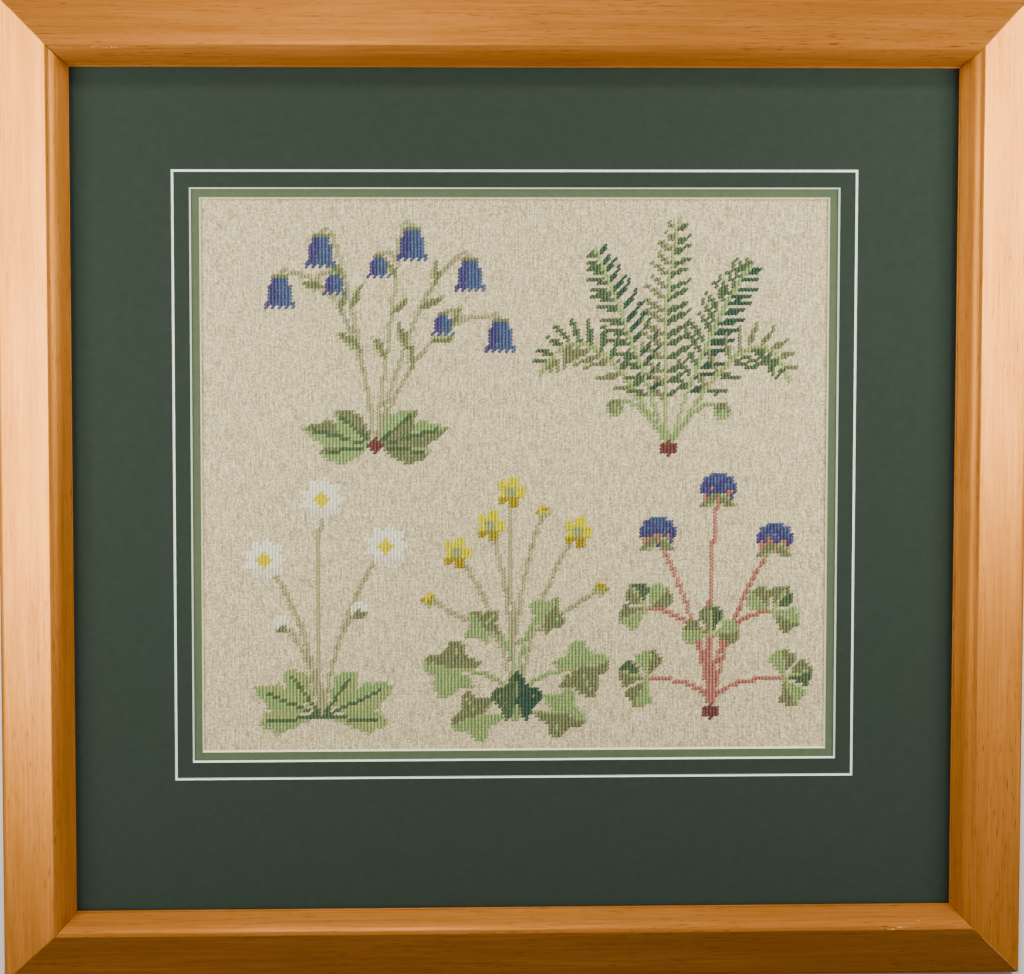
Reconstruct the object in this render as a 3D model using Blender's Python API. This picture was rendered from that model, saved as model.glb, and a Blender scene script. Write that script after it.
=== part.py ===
# Framed cross-stitch: four mitred rails hold glass, two window mats, a linen panel and a board.
# The part lies on its back, in metres. +Z is the way the picture faces, +Y is its top edge,
# and the origin is the middle of the back plane.

import math

import bmesh
import bpy
from mathutils import Vector

MM = 0.001

# Clearance between pieces that touch
GAP = 0.3 * MM

# The opening that the rails leave in front of the glass
SIGHT_WIDTH = 473.2 * MM
SIGHT_HEIGHT = 452.2 * MM

# Widths across one rail, from the opening outwards
LIP_FLAT = 0.8 * MM
BEAD_WIDTH = 9.0 * MM
RIDGE_FLAT = 1.7 * MM
SLOPE_WIDTH = 28.0 * MM
RAIL_WIDTH = LIP_FLAT + BEAD_WIDTH + RIDGE_FLAT + SLOPE_WIDTH

# Heights of the rail over its back, and the radii of its curves
LIP_HEIGHT = 13.2 * MM
RIDGE_HEIGHT = 26.2 * MM
OUTER_HEIGHT = 9.7 * MM
LIP_ARRIS_RADIUS = 0.4 * MM
BEAD_RADIUS = 16.2 * MM
OUTER_ARRIS_RADIUS = 5.0 * MM
BACK_ARRIS = 0.6 * MM
ARC_STEPS = 10
SMALL_ARC_STEPS = 4

# The rebate behind the lip, and the stack that it takes, from the back
REBATE_WIDTH = 6.0 * MM
BOARD_RECESS = 1.0 * MM
BOARD_THICKNESS = 3.0 * MM
LINEN_THICKNESS = 1.0 * MM
MAT_THICKNESS = 1.4 * MM
GLASS_THICKNESS = 2.0 * MM

BOARD_BASE = BOARD_RECESS
LINEN_BASE = BOARD_BASE + BOARD_THICKNESS + GAP
UNDER_MAT_BASE = LINEN_BASE + LINEN_THICKNESS + GAP
TOP_MAT_BASE = UNDER_MAT_BASE + MAT_THICKNESS + GAP
GLASS_BASE = TOP_MAT_BASE + MAT_THICKNESS + GAP
LIP_UNDERSIDE = GLASS_BASE + GLASS_THICKNESS + GAP

STACK_WIDTH = SIGHT_WIDTH + 2 * (REBATE_WIDTH - GAP)
STACK_HEIGHT = SIGHT_HEIGHT + 2 * (REBATE_WIDTH - GAP)

# The groove cut round the top mat, and the windows inside it. They sit above the frame's middle.
WINDOW_RISE = 8.2 * MM
GROOVE_WIDTH = 367.4 * MM
GROOVE_HEIGHT = 328.6 * MM
GROOVE_HALF_SPAN = 1.0 * MM
GROOVE_DEPTH = 1.0 * MM
TOP_WINDOW_INSET = 9.5 * MM
UNDER_WINDOW_INSET = 14.8 * MM

# The linen reaches this far behind the mat on each side
LINEN_MARGIN = 32.0 * MM
LINEN_WIDTH = GROOVE_WIDTH - 2 * UNDER_WINDOW_INSET + 2 * LINEN_MARGIN
LINEN_HEIGHT = GROOVE_HEIGHT - 2 * UNDER_WINDOW_INSET + 2 * LINEN_MARGIN

SHARP_ANGLE = math.radians(30)


def clear_scene():
    """Remove every object that is in the scene."""
    for item in list(bpy.data.objects):
        bpy.data.objects.remove(item, do_unlink=True)


def make_material(name, colour, roughness, transmission=0.0):
    """Return a Principled material of one colour."""
    material = bpy.data.materials.new(name)
    material.use_nodes = True
    shader = material.node_tree.nodes["Principled BSDF"]
    shader.inputs["Base Color"].default_value = (*colour, 1.0)
    shader.inputs["Roughness"].default_value = roughness
    shader.inputs["Metallic"].default_value = 0.0
    shader.inputs["Transmission Weight"].default_value = transmission
    return material


def make_object(name, shape, material, parent):
    """Turn a bmesh into a named object under the parent."""
    bmesh.ops.recalc_face_normals(shape, faces=shape.faces)
    mesh = bpy.data.meshes.new(name)
    shape.to_mesh(mesh)
    shape.free()
    mesh.materials.append(material)
    item = bpy.data.objects.new(name, mesh)
    bpy.context.scene.collection.objects.link(item)
    item.parent = parent
    return item


def arc_between(start, end, radius, steps):
    """Return points from start to end on an arc that bulges to the left of that direction."""
    chord = end - start
    middle = (start + end) / 2
    left = Vector((-chord.y, chord.x)).normalized()
    centre = middle - left * math.sqrt(radius ** 2 - (chord.length / 2) ** 2)
    first = math.atan2(start.y - centre.y, start.x - centre.x)
    sweep = -2 * math.asin(chord.length / 2 / radius)
    points = []
    for step in range(steps + 1):
        angle = first + sweep * step / steps
        points.append(centre + radius * Vector((math.cos(angle), math.sin(angle))))
    return points


def rounded_corner(corner, before, after, radius, steps):
    """Return points that round a corner between the directions to its two neighbours."""
    back = (before - corner).normalized()
    ahead = (after - corner).normalized()
    half_angle = back.angle(ahead) / 2
    run = radius / math.tan(half_angle)
    return arc_between(corner + back * run, corner + ahead * run, radius, steps)


def rail_profile():
    """Return a rail's section as (distance outwards from the opening, height), clockwise."""
    ridge_start = LIP_FLAT + BEAD_WIDTH
    ridge_end = Vector((ridge_start + RIDGE_FLAT, RIDGE_HEIGHT))
    outer_top = Vector((RAIL_WIDTH, OUTER_HEIGHT))
    outer_base = Vector((RAIL_WIDTH, 0.0))
    lip_base = Vector((0.0, LIP_UNDERSIDE))
    lip_top = Vector((0.0, LIP_HEIGHT))
    bead_start = Vector((LIP_FLAT, LIP_HEIGHT))
    points = [Vector((REBATE_WIDTH, 0.0)), Vector((REBATE_WIDTH, LIP_UNDERSIDE)), lip_base]
    points += rounded_corner(lip_top, lip_base, bead_start, LIP_ARRIS_RADIUS, SMALL_ARC_STEPS)
    points += arc_between(bead_start, Vector((ridge_start, RIDGE_HEIGHT)), BEAD_RADIUS, ARC_STEPS)
    points.append(ridge_end)
    points += rounded_corner(outer_top, ridge_end, outer_base, OUTER_ARRIS_RADIUS, ARC_STEPS)
    points.append(Vector((RAIL_WIDTH, BACK_ARRIS)))
    points.append(Vector((RAIL_WIDTH - BACK_ARRIS, 0.0)))
    return points


def make_rail(name, inner_run, offset, turn, material, parent):
    """Sweep the section along one side of the opening, with both ends cut at 45 degrees."""
    end_cut = GAP / 2 * math.sqrt(2)
    shape = bmesh.new()
    ends = ([], [])
    for outwards, height in rail_profile():
        half_run = inner_run / 2 + outwards - end_cut
        ends[0].append(shape.verts.new((-half_run, outwards, height)))
        ends[1].append(shape.verts.new((half_run, outwards, height)))
    count = len(ends[0])
    for index in range(count):
        after = (index + 1) % count
        shape.faces.new((ends[0][index], ends[1][index], ends[1][after], ends[0][after]))
    shape.faces.new(ends[0])
    shape.faces.new(reversed(ends[1]))
    rail = make_object(name, shape, material, parent)
    rail.data.shade_smooth()
    rail.data.set_sharp_from_angle(angle=SHARP_ANGLE)
    rail.rotation_euler = (0.0, 0.0, turn)
    rail.location = (-math.sin(turn) * offset, math.cos(turn) * offset, 0.0)
    return rail


def rectangle(width, height, rise, level):
    """Return the corners of a level rectangle whose middle is raised towards the top edge."""
    signs = ((-1, -1), (1, -1), (1, 1), (-1, 1))
    return [(x * width / 2, y * height / 2 + rise, level) for x, y in signs]


def make_ring(name, loops, material, parent):
    """Join rectangles into one closed ring, each to the next and the last to the first."""
    shape = bmesh.new()
    rings = []
    for corners in loops:
        rings.append([shape.verts.new(corner) for corner in corners])
    for index, ring in enumerate(rings):
        after = rings[(index + 1) % len(rings)]
        for side in range(4):
            other = (side + 1) % 4
            shape.faces.new((ring[side], ring[other], after[other], after[side]))
    return make_object(name, shape, material, parent)


def inset_window(inset, level):
    """Return a rectangle that lies inside the groove's outer edge by the inset."""
    return rectangle(GROOVE_WIDTH - 2 * inset, GROOVE_HEIGHT - 2 * inset, WINDOW_RISE, level)


def make_top_mat(material, parent):
    """Make the outer mat: a bevelled window, and a V-groove round it."""
    base = TOP_MAT_BASE
    top = base + MAT_THICKNESS
    loops = [
        rectangle(STACK_WIDTH, STACK_HEIGHT, 0.0, base),
        rectangle(STACK_WIDTH, STACK_HEIGHT, 0.0, top),
        inset_window(0.0, top),
        inset_window(GROOVE_HALF_SPAN, top - GROOVE_DEPTH),
        inset_window(2 * GROOVE_HALF_SPAN, top),
        inset_window(TOP_WINDOW_INSET, top),
        inset_window(TOP_WINDOW_INSET + MAT_THICKNESS, base),
    ]
    return make_ring("mat_top", loops, material, parent)


def make_under_mat(material, parent):
    """Make the inner mat, which shows as a narrow border with a bevelled window."""
    base = UNDER_MAT_BASE
    top = base + MAT_THICKNESS
    loops = [
        rectangle(STACK_WIDTH, STACK_HEIGHT, 0.0, base),
        rectangle(STACK_WIDTH, STACK_HEIGHT, 0.0, top),
        inset_window(UNDER_WINDOW_INSET, top),
        inset_window(UNDER_WINDOW_INSET + MAT_THICKNESS, base),
    ]
    return make_ring("mat_under", loops, material, parent)


def make_slab(name, width, height, rise, base, thickness, material, parent):
    """Make a flat piece with square edges."""
    shape = bmesh.new()
    bmesh.ops.create_cube(shape, size=1.0)
    bmesh.ops.scale(shape, vec=(width, height, thickness), verts=shape.verts)
    slab = make_object(name, shape, material, parent)
    slab.location = (0.0, rise, base + thickness / 2)
    return slab


def build_part():
    """Make every piece under one empty."""
    part = bpy.data.objects.new("framed_cross_stitch", None)
    bpy.context.scene.collection.objects.link(part)

    wood = make_material("honey_wood", (0.55, 0.28, 0.09), 0.38)
    glass = make_material("clear_glass", (0.95, 0.98, 0.96), 0.03, transmission=1.0)
    green_board = make_material("green_mat_board", (0.045, 0.065, 0.040), 0.9)
    sage_board = make_material("sage_mat_board", (0.17, 0.20, 0.11), 0.9)
    linen = make_material("natural_linen", (0.58, 0.49, 0.36), 0.95)
    brown_board = make_material("brown_board", (0.30, 0.20, 0.12), 0.85)

    quarter = math.pi / 2
    make_rail("rail_top", SIGHT_WIDTH, SIGHT_HEIGHT / 2, 0.0, wood, part)
    make_rail("rail_left", SIGHT_HEIGHT, SIGHT_WIDTH / 2, quarter, wood, part)
    make_rail("rail_bottom", SIGHT_WIDTH, SIGHT_HEIGHT / 2, 2 * quarter, wood, part)
    make_rail("rail_right", SIGHT_HEIGHT, SIGHT_WIDTH / 2, 3 * quarter, wood, part)

    make_slab("glass", STACK_WIDTH, STACK_HEIGHT, 0.0, GLASS_BASE, GLASS_THICKNESS, glass, part)
    make_top_mat(green_board, part)
    make_under_mat(sage_board, part)
    make_slab("linen", LINEN_WIDTH, LINEN_HEIGHT, WINDOW_RISE, LINEN_BASE, LINEN_THICKNESS,
              linen, part)
    make_slab("backing_board", STACK_WIDTH, STACK_HEIGHT, 0.0, BOARD_BASE, BOARD_THICKNESS,
              brown_board, part)


clear_scene()
build_part()
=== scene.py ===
# Looks of the framed cross-stitch: lacquered wood rails, glass, two bevelled mats, stretched linen
# and its stitches. Metres. The part lies on its back: +Z is the way the picture faces, +Y its top edge.

import math
import random

import bmesh
import bpy
import numpy as np
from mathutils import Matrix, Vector


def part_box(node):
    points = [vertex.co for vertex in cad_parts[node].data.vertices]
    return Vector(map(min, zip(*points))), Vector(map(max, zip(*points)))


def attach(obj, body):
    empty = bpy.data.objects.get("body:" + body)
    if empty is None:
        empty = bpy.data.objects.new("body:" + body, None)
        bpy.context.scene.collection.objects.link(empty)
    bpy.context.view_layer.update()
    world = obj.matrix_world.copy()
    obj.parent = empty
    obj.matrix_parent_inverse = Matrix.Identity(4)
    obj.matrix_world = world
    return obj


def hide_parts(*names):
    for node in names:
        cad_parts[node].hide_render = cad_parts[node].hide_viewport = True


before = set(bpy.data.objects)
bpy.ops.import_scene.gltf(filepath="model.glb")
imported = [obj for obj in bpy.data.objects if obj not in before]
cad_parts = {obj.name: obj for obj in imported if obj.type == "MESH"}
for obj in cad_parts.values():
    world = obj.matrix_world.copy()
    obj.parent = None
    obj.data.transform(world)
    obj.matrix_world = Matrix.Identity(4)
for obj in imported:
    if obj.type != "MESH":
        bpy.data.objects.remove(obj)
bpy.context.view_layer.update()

MM = 0.001
BODY = "root"
SEED = 7

# Camera, fitted to the corners of the rails, groove and windows
IMAGE_WIDTH = 1024
FOCAL_PIXELS = 3682
SENSOR_WIDTH = 36.0
CAMERA_PLACE = (-0.0992, 0.1899, 1.9747)
CAMERA_TURN = (-5.447, -2.824, 0.07)

# Sizes read from the frame
GLASS_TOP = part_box("glass")[1].z
HALF_OPENING = Vector((-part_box("rail_left")[1].x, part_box("rail_top")[0].y))
RAIL_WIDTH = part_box("rail_top")[1].y - HALF_OPENING.y
RIDGE_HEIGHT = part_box("rail_top")[1].z
LINEN_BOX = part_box("linen")
LINEN_SIZE = LINEN_BOX[1] - LINEN_BOX[0]
WINDOW_RISE = (LINEN_BOX[0].y + LINEN_BOX[1].y) / 2

# A rail's section, from the opening outwards, and its heights over the back
GAP = 0.3 * MM
LIP_FLAT = 0.8 * MM
BEAD_WIDTH = 9.0 * MM
RIDGE_FLAT = 1.7 * MM
LIP_HEIGHT = 13.2 * MM
OUTER_HEIGHT = 9.7 * MM
LIP_UNDERSIDE = GLASS_TOP + GAP
REBATE_WIDTH = 6.0 * MM
LIP_ARRIS_RADIUS = 0.4 * MM
FACET_TILT = math.radians(62)
ROUND_TILT = math.radians(30)
FACET_CROWN = 0.01 * MM
SLOPE_CROWN = 0.04 * MM
RIDGE_DROP = 0.3 * MM
RIDGE_ARRIS_RADIUS = 0.8 * MM
OUTER_ARRIS_RADIUS = 5.0 * MM
BACK_ARRIS = 0.6 * MM
MITRE_CUT = 0.03 * MM
MITRE_ARRIS = 0.18 * MM
STATION_STEP = 5.0 * MM
NICK_STEP = 0.4 * MM
NICK_REACH = 1.2 * MM
NICK_RAGGEDNESS = (0.45, 1.25)
NICK_STEEPNESS = 1.4
RAIL_SHARP_ANGLE = math.radians(22)

# How many steps each stretch of the section takes
FACET_STEPS = 12
ROUND_STEPS = 16
SLOPE_STEPS = 8
LIP_ARRIS_STEPS = 6
RIDGE_ARRIS_STEPS = 8
OUTER_ARRIS_STEPS = 14

# The windows and the groove, as insets from the groove's outer edge
LINEN_MARGIN = 32.0 * MM
UNDER_WINDOW_INSET = 14.8 * MM
UNDER_BEVEL_START = 15.0 * MM
BEVEL_RUN = 1.0 * MM
TOP_WINDOW_INSET = 9.75 * MM
GROOVE_START = 0.22 * MM
GROOVE_HALF_SPAN = 0.74 * MM
GROOVE_DEPTH = 0.75 * MM
GROOVE_WIDTH = LINEN_SIZE.x - 2 * LINEN_MARGIN + 2 * UNDER_WINDOW_INSET
GROOVE_HEIGHT = LINEN_SIZE.y - 2 * LINEN_MARGIN + 2 * UNDER_WINDOW_INSET
PAPER_ARRIS = 0.08 * MM

# The cloth and its stitches: one stitch covers two threads each way
STITCH = 1.814 * MM
THREAD = STITCH / 2
COLUMNS = 184
ROWS = 163
CLOTH_THICKNESS = 0.55 * MM
CLOTH_STEP = 3.0 * MM
CLOTH_SWELL = 0.10 * MM
CLOTH_SHARP_ANGLE = math.radians(40)

# Floss colours
FLOSS = {
    "deep": (0.122, 0.203, 0.141),
    "pine": (0.210, 0.268, 0.152),
    "moss": (0.345, 0.350, 0.196),
    "fresh": (0.445, 0.525, 0.260),
    "olive": (0.500, 0.525, 0.262),
    "stem_grey": (0.530, 0.490, 0.305),
    "yellow": (0.800, 0.700, 0.100),
    "ochre": (0.550, 0.425, 0.080),
    "blue": (0.180, 0.222, 0.360),
    "violet": (0.172, 0.148, 0.320),
    "white": (0.930, 0.845, 0.725),
    "white_shade": (0.860, 0.770, 0.640),
    "rose": (0.600, 0.300, 0.240),
    "root": (0.335, 0.138, 0.121),
}


def link_object(name, mesh):
    """Put a mesh in the scene."""
    item = bpy.data.objects.new(name, mesh)
    bpy.context.scene.collection.objects.link(item)
    return item


def dress(piece, slot, *nodes):
    """Give a piece its body and hide the nodes that it stands for. Its slot, the record's finish, is not
    used.
    """
    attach(piece, BODY)
    if nodes:
        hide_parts(*nodes)
    return piece


# Materials

class Nodes:
    """Adds nodes to one material. An input is a socket or a plain value."""

    def __init__(self, name, roughness, settings=()):
        self.material = bpy.data.materials.new(name)
        self.material.use_nodes = True
        self.tree = self.material.node_tree
        self.shader = self.tree.nodes["Principled BSDF"]
        self.shader.inputs["Roughness"].default_value = roughness
        for socket, value in dict(settings).items():
            self.shader.inputs[socket].default_value = value

    def feed(self, socket, value):
        """Link a socket into another, or set a plain value."""
        if isinstance(value, bpy.types.NodeSocket):
            self.tree.links.new(value, socket)
        else:
            socket.default_value = value

    def math(self, operation, *values):
        """Return the result of a math node."""
        node = self.tree.nodes.new("ShaderNodeMath")
        node.operation = operation
        for socket, value in zip(node.inputs, values):
            self.feed(socket, value)
        return node.outputs[0]

    def place(self, stretch=(1.0, 1.0, 1.0), shift=(0.0, 0.0, 0.0)):
        """Return the object's own coordinates, stretched and shifted."""
        source = self.tree.nodes.new("ShaderNodeTexCoord")
        mapping = self.tree.nodes.new("ShaderNodeMapping")
        mapping.inputs["Scale"].default_value = stretch
        mapping.inputs["Location"].default_value = shift
        self.feed(mapping.inputs["Vector"], source.outputs["Object"])
        return mapping.outputs[0]

    def axes(self):
        """Return the object's x, y and z as three sockets."""
        split = self.tree.nodes.new("ShaderNodeSeparateXYZ")
        self.feed(split.inputs[0], self.place())
        return split.outputs

    def noise(self, where, scale=1.0, detail=2.0, roughness=0.5):
        """Return smooth noise from 0 to 1."""
        node = self.tree.nodes.new("ShaderNodeTexNoise")
        self.feed(node.inputs["Vector"], where)
        node.inputs["Scale"].default_value = scale
        node.inputs["Detail"].default_value = detail
        node.inputs["Roughness"].default_value = roughness
        return node.outputs["Fac"]

    def spread(self, value, low, high, to_low=0.0, to_high=1.0):
        """Map a value from one range to another, held at its ends."""
        node = self.tree.nodes.new("ShaderNodeMapRange")
        self.feed(node.inputs["Value"], value)
        node.inputs["From Min"].default_value = low
        node.inputs["From Max"].default_value = high
        node.inputs["To Min"].default_value = to_low
        node.inputs["To Max"].default_value = to_high
        return node.outputs["Result"]

    def mix(self, share, first, second):
        """Mix two colours."""
        node = self.tree.nodes.new("ShaderNodeMix")
        node.data_type = "RGBA"
        self.feed(node.inputs["Factor"], share)
        for name, value in (("A", first), ("B", second)):
            socket = next(s for s in node.inputs if s.name == name and s.type == "RGBA")
            self.feed(socket, (*value, 1.0) if isinstance(value, tuple) else value)
        return next(s for s in node.outputs if s.type == "RGBA")

    def speckle(self, pitch):
        """Return a random number from 0 to 1 that is the same all over each square of a grid."""
        snap = self.tree.nodes.new("ShaderNodeVectorMath")
        snap.operation = "SNAP"
        self.feed(snap.inputs[0], self.place())
        snap.inputs[1].default_value = (pitch, pitch, 1.0)
        node = self.tree.nodes.new("ShaderNodeTexWhiteNoise")
        self.feed(node.inputs["Vector"], snap.outputs[0])
        return node.outputs["Value"]

    def painted(self, name):
        """Return a number painted on the mesh."""
        node = self.tree.nodes.new("ShaderNodeAttribute")
        node.attribute_name = name
        return node.outputs["Fac"]

    def finish(self, colour, height=None, strength=0.3, distance=0.1 * MM, roughness=None):
        """Connect the colour, and the bump and roughness if there are any."""
        self.feed(self.shader.inputs["Base Color"], colour)
        if roughness is not None:
            self.feed(self.shader.inputs["Roughness"], roughness)
        if height is not None:
            bump = self.tree.nodes.new("ShaderNodeBump")
            bump.inputs["Strength"].default_value = strength
            bump.inputs["Distance"].default_value = distance
            self.feed(bump.inputs["Height"], height)
            self.feed(self.shader.inputs["Normal"], bump.outputs[0])
        return self.material


def wood_material(name, shift):
    """Honey wood under satin lacquer: its grain, and the tinted sheen of fibres along the object's x."""
    nodes = Nodes(name, 0.36, {
        "Metallic": 0.18,
        "Specular IOR Level": 0.0,
        "Specular Tint": (1.0, 0.6, 0.3, 1.0),
        "Anisotropic": 0.5,
        "Anisotropic Rotation": 0.25,
        "Coat Weight": 0.02,
        "Coat Roughness": 0.22,
    })
    fibre = nodes.tree.nodes.new("ShaderNodeVectorTransform")
    fibre.vector_type = "VECTOR"
    fibre.convert_from = "OBJECT"
    fibre.convert_to = "WORLD"
    fibre.inputs[0].default_value = (1.0, 0.0, 0.0)
    nodes.feed(nodes.shader.inputs["Tangent"], fibre.outputs[0])
    figure = nodes.noise(nodes.place((4.0, 90.0, 90.0), shift), detail=3.0)
    streaks = nodes.noise(nodes.place((22.0, 900.0, 900.0), shift), detail=3.0, roughness=0.6)
    patches = nodes.noise(nodes.place((14.0, 30.0, 30.0), shift), detail=2.0)
    pores = nodes.noise(nodes.place((110.0, 1900.0, 1900.0), shift), detail=1.0)
    crowding = nodes.spread(patches, 0.35, 0.65, 0.3, 1.0)
    pore = nodes.math("MULTIPLY", nodes.spread(pores, 0.62, 0.74), crowding)
    crumbs = nodes.noise(nodes.place(), 1800.0, 1.0)
    chip = nodes.spread(nodes.math("MULTIPLY_ADD", crumbs, 0.9, nodes.painted("wear")), 0.85, 1.15)
    colour = nodes.mix(nodes.spread(figure, 0.3, 0.7), (0.350, 0.158, 0.050), (0.430, 0.200, 0.070))
    streak = nodes.math("MULTIPLY", nodes.spread(streaks, 0.35, 0.75), 0.65)
    colour = nodes.mix(streak, colour, (0.270, 0.108, 0.028))
    colour = nodes.mix(nodes.math("MULTIPLY", pore, 0.65), colour, (0.100, 0.034, 0.010))
    colour = nodes.mix(nodes.math("MULTIPLY", chip, 0.8), colour, (0.700, 0.440, 0.190))
    height = nodes.math("SUBTRACT", nodes.math("MULTIPLY", streaks, 0.35), pore)
    polish = nodes.spread(patches, 0.3, 0.7, 0.33, 0.39)
    roughness = nodes.math("ADD", polish, nodes.math("MULTIPLY", chip, 0.3))
    return nodes.finish(colour, height, 0.18, 0.06 * MM, roughness)


def paper_material(name, colour, other):
    """Matt paper face of a mat: fine fibres and a slight mottle."""
    nodes = Nodes(name, 0.9, {"Specular IOR Level": 0.06})
    mottle = nodes.noise(nodes.place(), 260.0, 3.0)
    fibres = nodes.noise(nodes.place((1.0, 1.6, 1.0)), 3200.0, 2.0)
    shade = nodes.math("ADD", nodes.math("MULTIPLY", mottle, 0.6), nodes.math("MULTIPLY", fibres, 0.4))
    mixed = nodes.mix(nodes.spread(shade, 0.35, 0.65), colour, other)
    return nodes.finish(mixed, fibres, 0.35, 0.04 * MM)


def core_material(name, colour):
    """The pale core that a bevel cut lays bare."""
    nodes = Nodes(name, 0.9, {"Specular IOR Level": 0.06})
    grain = nodes.noise(nodes.place(), 2400.0, 3.0)
    darker = tuple(0.86 * value for value in colour)
    mixed = nodes.mix(nodes.spread(grain, 0.35, 0.65), darker, colour)
    return nodes.finish(mixed, grain, 0.25, 0.03 * MM)


def thread_profile(nodes, value, wander):
    """Return a thread's rounded profile, from 0 between threads to 1 along its middle."""
    phase = nodes.math("ADD", nodes.math("MULTIPLY", value, math.pi / THREAD), wander)
    return nodes.math("SINE", phase)


def linen_material():
    """Natural evenweave linen: plain weave, with uneven threads and small holes between them, darkened with
    painted shade.
    """
    nodes = Nodes("linen_cloth", 0.93, {"Specular IOR Level": 0.06})
    x, y, _ = nodes.axes()
    drift = nodes.noise(nodes.place((1.0, 0.35, 1.0)), 55.0, 2.0)
    wander = nodes.spread(drift, 0.3, 0.7, -0.3, 0.3)
    warp = thread_profile(nodes, x, wander)
    weft = thread_profile(nodes, y, wander)
    over = nodes.math("MULTIPLY", warp, weft)
    warp_lift = nodes.math("MULTIPLY_ADD", over, 0.35, 0.65)
    weft_lift = nodes.math("MULTIPLY_ADD", over, -0.35, 0.62)
    warp_top = nodes.math("MULTIPLY", nodes.math("ABSOLUTE", warp), warp_lift)
    weft_top = nodes.math("MULTIPLY", nodes.math("ABSOLUTE", weft), weft_lift)
    height = nodes.math("MAXIMUM", warp_top, weft_top)
    warp_tone = nodes.noise(nodes.place((1.0 / THREAD, 110.0, 1.0)), 1.0, 2.0)
    weft_tone = nodes.noise(nodes.place((14.0, 1.0 / THREAD, 1.0), (3.0, 5.0, 0.0)), 1.0, 2.0)
    streaks = nodes.math("MULTIPLY_ADD", warp_tone, 0.60, nodes.math("MULTIPLY", weft_tone, 0.10))
    tone = nodes.math("MULTIPLY_ADD", nodes.speckle(THREAD), 0.30, streaks)
    colour = nodes.mix(nodes.spread(tone, 0.26, 0.74), (0.420, 0.330, 0.212), (1.000, 0.825, 0.560))
    # Painted shade: darker in the holes between threads
    hole_shade = nodes.spread(height, 0.25, 0.62, 1.0, 0.0)
    colour = nodes.mix(nodes.math("MULTIPLY", hole_shade, 0.5), colour, (0.360, 0.275, 0.165))
    relief = nodes.math("ADD", height, nodes.math("MULTIPLY", tone, 0.6))
    return nodes.finish(colour, relief, 0.6, 0.25 * MM)


def floss_material(name, colour):
    """Stranded cotton: fine fibres, and painted shade: the tone painted on each leg mixes a lit copy of the
    floss colour with a shaded one, which stays lighter for pale floss.
    """
    nodes = Nodes(name, 0.66, {"Specular IOR Level": 0.12})
    fibres = nodes.noise(nodes.place(), 5200.0, 2.0)
    # Painted shade: a shaded copy and a lit copy of the floss colour, mixed by the tone painted on each leg
    shaded_floss_colour = tuple((0.25 + 0.62 * value) * value for value in colour)
    light = tuple(min(1.15 * value, 0.98) for value in colour)
    shade = nodes.math("MULTIPLY_ADD", nodes.painted("tone"), 0.8, nodes.math("MULTIPLY", fibres, 0.2))
    mixed = nodes.mix(nodes.spread(shade, 0.1, 0.9), shaded_floss_colour, light)
    return nodes.finish(mixed, fibres, 0.5, 0.06 * MM)


def glass_material():
    """Clear picture glass: it lets light through and mirrors by its angle."""
    nodes = Nodes("picture_glass", 0.03)
    nodes.tree.nodes.remove(nodes.shader)
    clear = nodes.tree.nodes.new("ShaderNodeBsdfTransparent")
    clear.inputs["Color"].default_value = (0.965, 0.98, 0.97, 1.0)
    mirror = nodes.tree.nodes.new("ShaderNodeBsdfGlossy")
    mirror.inputs["Color"].default_value = (1.0, 1.0, 1.0, 1.0)
    mirror.inputs["Roughness"].default_value = 0.04
    angle = nodes.tree.nodes.new("ShaderNodeLayerWeight")
    angle.inputs["Blend"].default_value = 0.5
    grazing = nodes.math("POWER", angle.outputs["Facing"], 5.0)
    both = nodes.tree.nodes.new("ShaderNodeMixShader")
    nodes.feed(both.inputs[0], nodes.math("MULTIPLY_ADD", grazing, 0.96, 0.04))
    nodes.feed(both.inputs[1], clear.outputs[0])
    nodes.feed(both.inputs[2], mirror.outputs[0])
    nodes.feed(nodes.tree.nodes["Material Output"].inputs["Surface"], both.outputs[0])
    return nodes.material


def board_material():
    """Plain brown board: long fibres, pale and dark flecks."""
    nodes = Nodes("brown_board_face", 0.86, {"Specular IOR Level": 0.3})
    fibres = nodes.noise(nodes.place((1.0, 0.16, 1.0)), 1500.0, 3.0)
    cloud = nodes.noise(nodes.place(), 30.0, 3.0)
    flecks = nodes.noise(nodes.place((1.0, 0.5, 1.0)), 900.0, 1.0)
    shade = nodes.math("ADD", nodes.math("MULTIPLY", fibres, 0.6), nodes.math("MULTIPLY", cloud, 0.4))
    colour = nodes.mix(nodes.spread(shade, 0.35, 0.65), (0.235, 0.150, 0.085), (0.355, 0.245, 0.150))
    colour = nodes.mix(nodes.spread(flecks, 0.70, 0.78, 0.0, 0.7), colour, (0.120, 0.070, 0.040))
    return nodes.finish(colour, fibres, 0.3, 0.05 * MM)


# Rails

def arc_between(start, end, radius, steps):
    """Return points from start to end on an arc that bulges to the left of that direction."""
    chord = end - start
    middle = (start + end) / 2
    left = Vector((-chord.y, chord.x)).normalized()
    centre = middle - left * math.sqrt(radius ** 2 - (chord.length / 2) ** 2)
    first = math.atan2(start.y - centre.y, start.x - centre.x)
    sweep = -2 * math.asin(chord.length / 2 / radius)
    angles = [first + sweep * step / steps for step in range(steps + 1)]
    return [centre + radius * Vector((math.cos(angle), math.sin(angle))) for angle in angles]


def rounded_corner(corner, before, after, radius, steps):
    """Return points that round a corner between the directions to its two neighbours."""
    back = (before - corner).normalized()
    ahead = (after - corner).normalized()
    run = radius / math.tan(back.angle(ahead) / 2)
    return arc_between(corner + back * run, corner + ahead * run, radius, steps)


def crowned_line(start, end, crown, steps):
    """Return points from start to end, short of it, on a line that swells a little to its left."""
    chord = end - start
    left = Vector((-chord.y, chord.x)).normalized()
    shares = [step / steps for step in range(steps)]
    return [start + share * chord + 4 * crown * share * (1 - share) * left for share in shares]


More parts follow.
